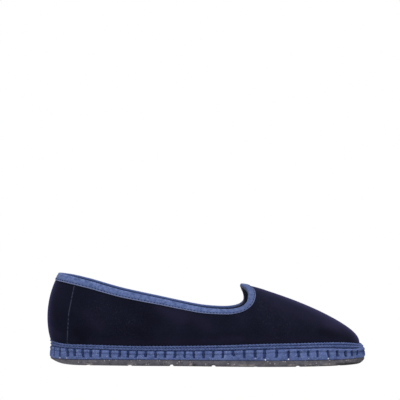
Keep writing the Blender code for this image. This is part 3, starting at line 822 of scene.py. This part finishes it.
def build_tape(material):
    """Ribbed tape folded over the collar, with a sewn trough near its lower edge."""
    tape = tape_frames(TAPE_COLUMNS)
    count = round(tape.length / STITCH_PITCH)
    dip = 0.5 + 0.5 * np.cos(FULL_TURN * count * tape.run / tape.length)
    wave = FULL_TURN * tape.run / tape.length
    pucker = 0.05 * np.sin(19 * wave) + 0.04 * np.sin(47 * wave + 1.0)
    flat = 0.55 + 0.45 * step_up(tape.station, *TAPE_FILLS)
    rows = []
    for row in TAPE_FACE:
        lift = TAPE_BED + row.thick * flat - 0.10 * dip * row.stitch_row + 0.6 * pucker * (1 - row.lip)
        rows.append((tape_layer(tape, row.down, lift, pucker * row.lip), row.lip, row.stitch_row, 0.0))
    middle = tape.top - tape.normal * (0.5 * WALL)
    shoulder = 0.5 * WALL + TAPE_BED + TAPE_SHOULDER
    for degrees in (10, 32, 56, 80, 100, 124, 148, 170):
        angle = np.radians(degrees)
        fold = middle + tape.normal * (shoulder * np.cos(angle)) - tape.down * (TAPE_CREST * np.sin(angle))
        rows.append((fold, 0.0, 0.0, step_up(degrees, 75, 130)))
    for share, thick in TAPE_BACK:
        rows.append((tape_layer(tape, share, -WALL - TAPE_BED - thick), 0.0, 0.0, 1.0))
    for share in (0.0, 0.5, 1.0):
        rows.append((tape_layer(tape, share, TAPE_BED), 0.0, 0.0, 0.0))
    points, *shares = zip(*rows)
    whole = np.ones((len(rows), len(tape.run)))
    # Painted shade goes in the sewn trough, on the tape's inner face and on its outer face towards the
    # throat
    marks = {mark: np.array(share)[:, None] * whole
             for mark, share in zip(("lip", "stitch_row", "inside"), shares)}
    marks["throat"] = marks["inside"] * step_up(tape.station, *TAPE_GREYS)
    marks["front"] = whole * (0.42 * step_up(tape.station, *TAPE_FRONT_SHADE))
    marks["run"] = whole * tape.run
    make_tube("collar_tape", points, material, "collar_binding", marks)


def beads(centres, along, up, length, radius, sides=8):
    """Points and faces of short rounded threads that lie along directions."""
    across = unit(np.cross(along, up))
    up = unit(np.cross(across, along))
    turn = FULL_TURN * np.arange(sides) / sides
    points, faces = [], []
    for k in range(len(centres)):
        first = k * len(BEAD) * sides
        spokes = across[k] * np.cos(turn)[:, None] + up[k] * np.sin(turn)[:, None]
        rings = centres[k] + along[k] * (BEAD[:, 0] * length[k] / 2)[:, None, None]
        points.append((rings + spokes * (BEAD[:, 1] * radius[k])[:, None, None]).reshape(-1, 3))
        faces += grid_faces(len(BEAD), sides, first=first)
        faces += [list(range(end, end + sides)) for end in (first, first + (len(BEAD) - 1) * sides)]
    return np.concatenate(points), faces


def build_tape_stitches(material):
    """Sewing thread of the tape, on its outer and inner face."""
    count = round(tape_frames(TAPE_COLUMNS).length / STITCH_PITCH)
    tape = tape_frames(count)
    outer = tape_layer(tape, TAPE_STITCH, TAPE_BED + STITCH_OUTSIDE)
    inner = tape_layer(tape, TAPE_STITCH, -WALL - TAPE_BED - STITCH_INSIDE)
    points, faces = beads(np.concatenate([outer, inner]), np.tile(tape.tangent, (2, 1)),
                          np.concatenate([tape.normal, -tape.normal]),
                          np.full(2 * count, STITCH_LENGTH), np.full(2 * count, STITCH_RADIUS))
    make_piece("tape_stitches", points, faces, material)


def round_trip(lateral, medial):
    """Stations and sides once round the shoe, out along the lateral side and back along the medial."""
    side = np.repeat((-1.0, 1.0), (len(lateral), len(medial) - 2))
    return np.concatenate([lateral, medial[-2:0:-1]]), side


def sole_ring(shares):
    """Stations and sides once round the sole's edge at shares of each side's length."""
    return round_trip(edge_stations(-1.0, shares)[0], edge_stations(1.0, shares)[0])


# Section of the welt's bed: rise, least thickness over the wall and reach
WELT_BED = (
    (0.0, 0.0, 0.0), (0.5, 0.0, 0.0), (0.88, -0.05, 0.0), (0.97, 0.25, 0.16), (0.80, 0.45, 0.30),
    (0.58, 0.40, 0.34), (0.40, 0.5, 0.50), (0.18, 0.6, 0.60), (0.0, 0.6, 0.66),
)
# Rise and tuck of the welt at the back of the heel, and the stations over which they end
WELT_LIFT = 1.5
WELT_TUCK = 0.75
WELT_ENDS = (-136.0, -112.0)


def welt_rows(station, side, rows):
    """Rows of points on the welt: each row is rise, least thickness over the wall and reach."""
    foot_x = feather(station, side)[0]
    low = ledge(foot_x) + FIT
    tall = edge(station, "welt") - low
    back = 1 - step_up(station, *WELT_ENDS)
    made = []
    for rise, thick, reach in rows:
        height = low + (tall + WELT_LIFT * back) * rise
        least = wall_reach(station, side, height) + FIT + thick - WELT_TUCK * back
        plan = outline(station, side, np.maximum(least, reach * edge(station, "margin")))
        made.append(raised(plan, height))
    return made


def build_welt_bed(material):
    """Bed of the welt under its cords."""
    station, side = sole_ring(np.linspace(0, 1, WELT_COLUMNS))
    make_tube("welt_bed", welt_rows(station, side, WELT_BED), material, "welt")


def twisted_cord(path, radius, pitch, rng):
    """Points and faces of a closed cord of twisted plies along a ring of points."""
    run, length, tangent = ring_run(path)
    turns = max(1, round(length / pitch))
    across = unit(np.cross(tangent, UP))
    up = np.cross(across, tangent)
    loose = np.convolve(rng.normal(0, 1, len(path)), np.ones(9) / 9, "same")
    thick = 0.60 * radius * (1 + 0.10 * loose)
    points, faces = [], []
    for ply in range(CORD_PLIES):
        angle = FULL_TURN * (turns * run / length + ply / CORD_PLIES) + 0.5 * loose
        centre = path + (across * np.cos(angle)[:, None] + up * np.sin(angle)[:, None]) * (0.48 * radius)
        faces += grid_faces(CORD_SIDES, len(path), closed_rows=True, first=ply * CORD_SIDES * len(path))
        for turn in FULL_TURN * np.arange(CORD_SIDES) / CORD_SIDES:
            points.append(centre + (across * math.cos(turn) + up * math.sin(turn)) * thick[:, None])
    return np.concatenate(points), faces


# Cords of the welt: name, share of its height, thickness over the wall, reach, radius and pitch of twist
Cord = namedtuple("Cord", "name rise thick reach radius pitch")
CORDS = (
    Cord("welt_cord_upper", 0.85, 0.20, 0.32, 0.85, 5.6),
    Cord("welt_cord_lower", 0.33, 0.35, 0.58, 0.78, 5.0),
)


def build_welt_cords(material):
    """Twisted cords of the welt."""
    rng = np.random.default_rng(SEED)
    station, side = sole_ring(np.linspace(0, 1, CORD_COLUMNS))
    for cord in CORDS:
        path, = welt_rows(station, side, ((cord.rise, cord.thick, cord.reach),))
        points, faces = twisted_cord(path, cord.radius, cord.pitch, rng)
        make_piece(cord.name, points, faces, material)


# Hand-sewn slots of the lateral side: share of the way round from heel to toe, and how far they stray in mm
STRAYS = table(
    "share shift",
    (0, 0), (0.06, 0), (0.095, 0.7), (0.15, -0.6), (0.20, -1.3), (0.25, 0.1), (0.31, -1.3),
    (0.40, -0.6), (0.47, -1.1), (0.55, -1.4), (0.60, -0.3), (0.65, -0.3), (0.70, 1.9), (0.77, 0.7),
    (0.84, 1.2), (0.88, 1), (0.928, -1.9), (0.957, 1.2), (1, 0),
)


def slot_centres(side):
    """Slots of one side as shares of the way round from heel to toe."""
    even = (np.arange(SLOTS_PER_SIDE) + 0.5) / SLOTS_PER_SIDE
    share = even - SLOT_CROWDING * np.sin(math.pi * even)
    if side < 0:
        share = share + smooth(STRAYS, share, "shift") / edge_stations(side, (0.0,))[1]
    return share


def band_columns(side):
    """Columns of one side of the band: share of its length, nearest slot and distance to it."""
    _, length = edge_stations(side, (0.0,))
    centres = slot_centres(side)
    shares = [0.0, 1.0]
    bounds = np.concatenate([[0.0], 0.5 * (centres[1:] + centres[:-1]), [1.0]])
    for k, centre in enumerate(centres):
        near = centre + np.linspace(-1.5, 1.5, 13) / length
        before, after = np.linspace(bounds[k], near[0], 4), np.linspace(near[-1], bounds[k + 1], 4)
        shares += [*before[:-1], *near, *after[1:]]
    shares = np.unique(np.round(np.array(shares), 9))
    nearest = np.abs(shares[:, None] - centres[None, :]).argmin(axis=1)
    return shares, nearest, (shares - centres[nearest]) * length


Slot = namedtuple("Slot", "slant shift width plump foot hook dash dash_shift")


def slot_habits():
    """How each stitch slot, lateral ones first, differs from the even one, in mm."""
    rng = np.random.default_rng(SEED + 1)
    count = 2 * SLOTS_PER_SIDE
    return Slot(
        slant=rng.normal(0.0, 0.45, count), shift=rng.normal(0.0, 0.20, count),
        width=SLOT_WIDTH * rng.uniform(0.95, 1.25, count), plump=rng.uniform(0.6, 1.2, count),
        foot=rng.normal(0.0, 0.40, count), hook=rng.choice((-0.6, -0.3, 0.0, 0.0, 0.3, 0.6), count),
        dash=rng.uniform(1.2, 3.0, count), dash_shift=rng.normal(0.0, 1.0, count))


# Kinds of row in the band's section
SIDE, LINE, HIDDEN = range(3)


def band_rows(line, top):
    """Rows of the band up its side, over its top and back underneath: height, inset and kind of row."""
    rows = []
    for t in np.linspace(0, 1, 12):
        inset = 0.55 * (1 - step_up(t, 0, 0.3)) - 0.28 * math.sin(math.pi * t) ** 0.8
        rows.append((BAND_LOW + (line - BAND_LOW) * t, inset, SIDE))
    rows += [(line + above, inset, LINE) for above, inset in ((0.2, 0.30), (0.4, 0.42), (0.6, 0.34))]
    for t in np.linspace(0, 1, 8):
        height = line + 0.85 + (top - line - 1.3) * t
        rows.append((height, 0.16 - 0.30 * math.sin(math.pi * t) ** 0.8, SIDE))
    rows += [(top - 0.15, 0.45, LINE), (top, 0.85, LINE), (top, 5.0, HIDDEN), (top - 1.0, 6.0, HIDDEN)]
    return rows + [(BAND_LOW + 0.5, 6.0, HIDDEN), (BAND_LOW, 5.0, HIDDEN)]


def build_band(material):
    """Stitched edge of the sole: padded cloth between upright slots, and a drawn-in line along it."""
    parts = []
    for side, base in ((-1.0, 0), (1.0, SLOTS_PER_SIDE)):
        shares, nearest, away = band_columns(side)
        station, _ = edge_stations(side, shares)
        parts.append((station, np.full(len(station), side), nearest + base, away, shares))
    station, side, slot, away, share = (np.concatenate([a, b[-2:0:-1]]) for a, b in zip(*parts))
    habit = Slot(*(column[slot] for column in slot_habits()))
    margin = edge(station, "margin")
    foot_x = outline(station, side, margin)[:, 0]
    from_tip = (1 - share) * edge_stations(-1.0, (0.0,))[1]
    line = ledge(foot_x) - LINE_DROP
    pad = 1 - step_up(from_tip, *PAD_ENDS)
    slot_low = BAND_LOW + 0.20 * (line + LINE_DROP - BAND_LOW) + habit.foot
    slot_high = line + 3.0 - 1.5 * step_up(foot_x, *SLOT_DROP)
    dash = np.exp(-((away - habit.dash_shift) / habit.dash) ** 4)
    points, band_shade, toe_slot_shade = [], [], []
    for height, inset, kind in band_rows(line, line + LINE_DROP + TOE_PAD * pad):
        shown = 0.0 if kind == HIDDEN else 1.0
        lean = (height - SLOT_MIDDLE) / SLOT_HEIGHT
        curl = habit.hook * np.exp(-((height - slot_low - 0.6) / 1.0) ** 2)
        off = np.abs(away - habit.shift - habit.slant * lean - curl)
        start = step_up(height, slot_low, slot_low + 0.9) * (1 - step_up(height, slot_high, slot_high + 0.6))
        cut = (1 - step_up(off, SLOT_FLOOR * habit.width, SLOT_MOUTH * habit.width)) * start * shown
        pull = SLOT_PULL * habit.plump * (np.exp(-(off / PULL_WIDTH) ** 2) * start * shown)
        crest = TOE_CREST * pad * np.clip((height - line - 1.2) / 4.1, 0, 1) ** 2 * shown
        plan = outline(station, side, margin - (inset + SLOT_DEPTH * cut + pull + crest))
        points.append(raised(plan, height))
        # Painted shade in the slots, in dashes along the drawn-in line and over the toe, and darker painted
        # shade in the slots near the toe tip
        groove = step_up(inset, 0.2, 0.42) * (0.20 + 0.55 * dash) if kind == LINE else 0.0
        drawn_line_shade = 0.55 * np.exp(-((height - line - 0.1) / 1.3) ** 2) * (1 - step_up(from_tip, *DRAWN_LINE_SHADE_ENDS))
        shaded = (0.25 * (1 - step_up(from_tip, *SHADE_ENDS)) + drawn_line_shade) * shown
        band_shade.append(np.clip(0.90 * cut + groove + shaded, 0, 1))
        toe_slot_shade.append(cut * (1 - step_up(from_tip, *TOE_SLOT_SHADE_ENDS)))
    marks = {"band_shade": band_shade, "toe_slot_shade": toe_slot_shade}
    make_tube("stitched_band", points, material, "midsole", marks)


def slot_line(side):
    """Inner end of the slots on one side: plan, outward direction and height of the ledge there."""
    stations, _ = edge_stations(side, slot_centres(side))
    inset = edge(stations, "margin") - SLOT_BED
    foot = outline(stations, side, inset)
    return foot, outline(stations, side, inset + 1.0) - foot, ledge(foot[:, 0])


def build_slot_threads(material):
    """Upright threads that lie in the slots of the band."""
    rng = np.random.default_rng(SEED + 2)
    habits = slot_habits()
    threads = []
    for side, base in ((-1.0, 0), (1.0, SLOTS_PER_SIDE)):
        habit = Slot(*(column[base:base + SLOTS_PER_SIDE] for column in habits))
        foot, out, top = slot_line(side)
        top = top - 0.4 - 1.4 * step_up(foot[:, 0], *SLOT_DROP)
        low = BAND_LOW + 2.0 + habit.foot
        tangent = raised(np.column_stack([out[:, 1], -out[:, 0]]), 0.0) * side
        foot = foot + tangent[:, :2] * habit.shift[:, None]
        lean = habit.slant * (top - low) / SLOT_HEIGHT
        along = unit(UP * (top - low)[:, None] + tangent * lean[:, None])
        threads.append((raised(foot, 0.5 * (low + top)), along, raised(out, 0.0), top - low,
                        rng.uniform(0.34, 0.48, len(top))))
    points, faces = beads(*(np.concatenate(both) for both in zip(*threads)))
    make_piece("slot_threads", points, faces, material)


# Slots whose thread ends show as a pale tuft at the foot: side, place along the shoe and size
TUFTS = table(
    "side x size",
    (-1, -119, 0.7), (-1, -112.8, 1), (-1, 40.1, 1), (-1, 48.8, 1), (-1, 68.4, 1), (-1, 84.2, 0.8),
    (-1, 99.2, 0.9), (1, -90, 0.9), (1, 20, 1), (1, 64, 0.8),
)


def build_tufts(material):
    """Pale thread ends that stick out at the foot of some slots."""
    rng = np.random.default_rng(SEED + 4)
    habit = slot_habits()
    ends = []
    for tuft in TUFTS:
        foot, out, _ = slot_line(tuft.side)
        k = int(np.abs(foot[:, 0] - tuft.x).argmin())
        base = SLOTS_PER_SIDE if tuft.side > 0 else 0
        flat = np.append(out[k], 0.0)
        tangent = np.array((out[k][1], -out[k][0], 0.0))
        spot = np.append(foot[k], BAND_LOW + 1.35 + habit.foot[base + k]) + flat * 1.0
        for _ in range(4):
            aside, rise = rng.uniform(-0.5, 0.5), rng.uniform(-0.45, 0.35)
            centre = spot + tangent * aside + UP * rise
            sideways, upward = rng.normal(0, 1.0), rng.normal(0, 0.8)
            along = unit(tangent * sideways + UP * upward + flat * 0.3)
            length, radius = rng.uniform(0.8, 1.3), rng.uniform(0.16, 0.26)
            ends.append((centre, along, flat, tuft.size * length, tuft.size * radius))
    points, faces = beads(*(np.array(column) for column in zip(*ends)), sides=6)
    make_piece("thread_ends", points, faces, material)


def plate_grid(station, insets, cross):
    """Grid of plan points across the sole between two sides that stand in by an inset."""
    margin = edge(station, "margin") - insets
    lateral, medial = (outline(station, side, margin)[:, None, :] for side in (-1.0, 1.0))
    share = np.linspace(0, 1, cross)[None, :, None]
    return lateral * (1 - share) + medial * share


def add_plate(points, faces, grid):
    """Points with a grid added to them, whose quads join the faces."""
    faces += grid_faces(*grid.shape[:2], closed_columns=False, first=len(points))
    return np.concatenate([points, grid.reshape(-1, 3)])


def build_insole(material):
    """Insole sock: a padded board with a soft rolled edge."""
    station, _ = edge_stations(-1.0, np.linspace(0, 1, SOCK_COLUMNS))
    ring, side = round_trip(station, station)
    loops = []
    for inset, rise in ((0.4, 0.0), (0.05, 0.4), (0.0, 1.4), (0.05, 2.4), (0.25, 2.8), (0.6, SOCK)):
        plan = outline(ring, side, -INSOLE_INSET - inset)
        loops.append(raised(plan, ledge(plan[:, 0]) + FIT + rise))
    points = np.concatenate(loops)
    faces = grid_faces(len(loops), len(side))
    share = np.linspace(0, 1, SOCK_CROSS)[None, :]
    ends = np.linspace(0, 1, len(station))[:, None]
    for inset, level, dish in ((0.6, SOCK, SOCK_DISH), (0.4, 0.0, 0.0)):
        plan = plate_grid(station, edge(station, "margin") + INSOLE_INSET + inset, SOCK_CROSS)
        hollow = dish * step_up(np.minimum(share, 1 - share), 0, 0.25)
        hollow = hollow * step_up(np.minimum(ends, 1 - ends), 0, 0.06)
        points = add_plate(points, faces, raised(plan, ledge(plan[..., 0]) + FIT + level - hollow))
    make_piece("insole_sock", points, faces, material, "insole", weld=True)


def tread_depth(plan, rim):
    """Depth of the cross grooves and of the fine ribs between them; rim is 1 at the sole's edge."""
    x, y = plan[..., 0], plan[..., 1]
    depth = np.zeros(x.shape)
    for groove in GROOVES:
        off = np.abs(x - groove.x)
        cut = 1 - step_up(off, 0.5 * GROOVE_WIDTH - 0.35, 0.5 * GROOVE_WIDTH + 0.25)
        depth = np.maximum(depth, GROOVE_DEPTH * cut * (1 - rim * (1 - groove.rim)))
    rib = 0.5 + 0.5 * np.cos(FULL_TURN * x / TREAD_RIB + 0.9 * np.sin(FULL_TURN * y / TREAD_WAVE))
    return np.maximum(depth, TREAD_RIB_DEPTH * step_up(rib, 0.55, 0.85) * (1 - rim))


# Scuffs on the side of the rubber, and painted shade under the toe: place, half length, half height, and
# tone, dark below zero
SCUFFS_AND_TOE_SHADE = table(
    "side x z long tall tone",
    (-1, -94.5, 1.1, 2.6, 0.5, 0.7), (-1, -62, 1.2, 2.2, 0.5, 0.4),
    (-1, -12.5, 1.3, 1.1, 1.1, 0.9), (-1, -9.6, 1, 1.4, 0.8, -0.9),
    (-1, 6, 1.9, 1.5, 0.7, -0.5), (-1, 21, 1.6, 1.2, 0.7, 0.6),
    (-1, 32, 1.2, 6, 0.5, 0.5), (-1, 48, 2, 2.4, 0.7, 0.6),
    (-1, 69, 1.8, 2.6, 0.6, 0.6), (-1, 84, 1.9, 2.6, 0.6, 0.6),
    (-1, 100, 1.6, 5, 0.5, 0.4), (-1, 119, 0.6, 16, 1.8, -1),
    (-1, 129, 2.6, 8, 2.4, -0.55), (1, 127, 1.6, 9, 2.2, -0.5),
    (1, -40, 1.4, 3, 0.7, 0.5), (1, 30, 1.5, 5, 0.6, 0.5),
    (1, 88, 1.5, 3, 0.7, 0.6),
)


def scuff_and_shade_share(points, sign):
    """Share of the pale scuffs, or with a sign of -1 of the dark nicks and the painted shade under the toe,
    at points of the rubber.
    """
    x, y, z = np.moveaxis(points, -1, 0)
    share = np.zeros(x.shape)
    for rubber_spot in SCUFFS_AND_TOE_SHADE:
        spot = np.exp(-((x - rubber_spot.x) / rubber_spot.long) ** 4 - ((z - rubber_spot.z) / rubber_spot.tall) ** 4)
        share = np.maximum(share, np.where(y * rubber_spot.side > 0, sign * rubber_spot.tone * spot, 0.0))
    return share


def build_tread(material):
    """Rubber sheet with a worn rounded lower edge, cross grooves and fine ribs underneath."""
    rng = np.random.default_rng(SEED + 3)
    station, _ = edge_stations(-1.0, np.linspace(0, 1, TREAD_COLUMNS))
    count = len(station)
    ring, side = round_trip(station, station)
    ragged = np.zeros(len(side))
    for size, wide in ((0.10, 5), (0.16, 13), (0.12, 31)):
        rough = rng.normal(0.0, 1.0, len(side) + wide)
        ragged += size * np.convolve(rough, np.ones(wide) / math.sqrt(wide), "same")[:len(side)]
    rise = edge(ring, "round")
    rows = [(share, (1 - share) ** 2.1, 0.0) for share in (1.0, 0.8, 0.62, 0.46, 0.32, 0.2, 0.1, 0.03)]
    rows += [(0.0, 1.0, over) for over in (0.0, 0.35, 0.7, 0.92)] + [(0.06, 1.0, 1.0)]
    loops = []
    for bevel, up, over in rows:
        level = rise * up + (OUTSOLE_TOP - rise) * over
        worn = ragged * (1 - step_up(level, 1.6, 3.6))
        inset = OUTSOLE_INSET + bevel * edge(ring, "bevel") + 0.12 * np.abs(worn)
        plan = outline(ring, side, edge(ring, "margin") - inset)
        notch = tread_depth(plan, 1.0) * (1 - step_up(level, 0.9, 2.4))
        lift = 0.30 * np.maximum(worn, 0.0) * np.clip(level / 0.3, 0, 1)
        loops.append(raised(plan, np.minimum(level + notch + lift, OUTSOLE_TOP)))
    grid = np.array(loops)
    # Painted shade, darker towards the floor
    dark = 0.45 * (1 - step_up(grid[..., 2], 0.1, 2))
    points = np.concatenate(loops)
    lower = [np.maximum(dark, scuff_and_shade_share(grid, -1)).ravel()]
    pale = [scuff_and_shade_share(grid, 1).ravel()]
    faces = grid_faces(len(loops), len(side))
    across = np.abs(np.linspace(-1, 1, TREAD_CROSS))[None, :]
    for row, share in ((0, 1.0), (-1, 0.06)):
        plan = plate_grid(station, OUTSOLE_INSET + share * edge(station, "bevel"), TREAD_CROSS)
        rim = step_up(np.broadcast_to(across, plan.shape[:2]), 0.84, 0.98)
        flat = raised(plan, tread_depth(plan, rim) if row == 0 else OUTSOLE_TOP)
        flat[:, 0] = loops[row][:count]
        flat[1:-1, -1] = loops[row][count:][::-1]
        points = add_plate(points, faces, flat)
        # The underside takes painted shade
        lower.append(np.full(rim.size, 0.25 if row == 0 else 0.0))
        pale.append(np.zeros(rim.size))
    marks = {"lower": np.concatenate(lower), "pale": np.concatenate(pale)}
    make_piece("rubber_tread", points, faces, material, "outsole", marks, weld=True)


def build_stage():
    """White floor, even white surroundings and a soft light from above."""
    mesh = bpy.data.meshes.new("floor")
    mesh.from_pydata([(-6, -6, 0), (6, -6, 0), (6, 6, 0), (-6, 6, 0)], [], [(0, 1, 2, 3)])
    paper = Finish("white_paper", {
        "Base Color": (0.0, 0.0, 0.0, 1.0), "Roughness": 1.0, "Specular IOR Level": 0.0,
        "Emission Color": (1.0, 1.0, 1.0, 1.0), "Emission Strength": 1.0,
    })
    mesh.materials.append(paper.material)
    floor = add_object("floor", mesh)
    world = bpy.data.worlds.new("white_room")
    world.use_nodes = True
    room = world.node_tree.nodes["Background"]
    room.inputs["Color"].default_value = (1.0, 1.0, 1.0, 1.0)
    room.inputs["Strength"].default_value = 1.0
    bpy.context.scene.world = world
    light = bpy.data.lights.new("top_softbox", "AREA")
    light.shape = "RECTANGLE"
    light.size, light.size_y = LAMP_SIZE
    light.energy = LAMP_WATTS
    lamp = add_object("top_softbox", light)
    lamp.location = LAMP_PLACE
    lamp.rotation_euler = (Vector(LAMP_GOAL) - Vector(LAMP_PLACE)).to_track_quat("-Z", "Y").to_euler()


def build_camera():
    """Level view along +Y at the outer side, with the whole shoe in the frame."""
    camera = bpy.data.cameras.new("camera")
    camera.sensor_width = SENSOR
    camera.lens = SENSOR * CAMERA_AWAY / VIEW_WIDTH
    camera.clip_start, camera.clip_end = 0.05, 50.0
    holder = add_object("camera", camera)
    holder.location = (CAMERA_X, -CAMERA_AWAY, CAMERA_UP)
    holder.rotation_euler = (math.radians(90.0), 0.0, 0.0)
    bpy.context.scene.camera = holder
    bpy.context.scene.view_settings.view_transform = "Standard"


def main():
    build_velvet(velvet_finish())
    build_lining(cloth_finish("lining_cloth", colour(44, 46, 54), colour(66, 69, 78)))
    build_tape(tape_finish())
    build_tape_stitches(yarn_finish("dark_thread", colour(14, 20, 42), colour(26, 34, 62)))
    build_welt_bed(yarn_finish("shaded_yarn", colour(45, 57, 98), colour(64, 78, 122)))
    build_welt_cords(yarn_finish("blue_yarn", colour(62, 76, 119), colour(88, 102, 145)))
    build_band(denim_finish())
    build_slot_threads(yarn_finish("blue_thread", colour(32, 46, 86), colour(48, 62, 104)))
    build_tufts(yarn_finish("pale_cotton", colour(176, 178, 190), colour(222, 222, 228)))
    build_insole(cloth_finish("sock_cloth", colour(26, 28, 36), colour(42, 44, 54), weave=1.0))
    build_tread(rubber_finish())
    build_stage()
    build_camera()


main()
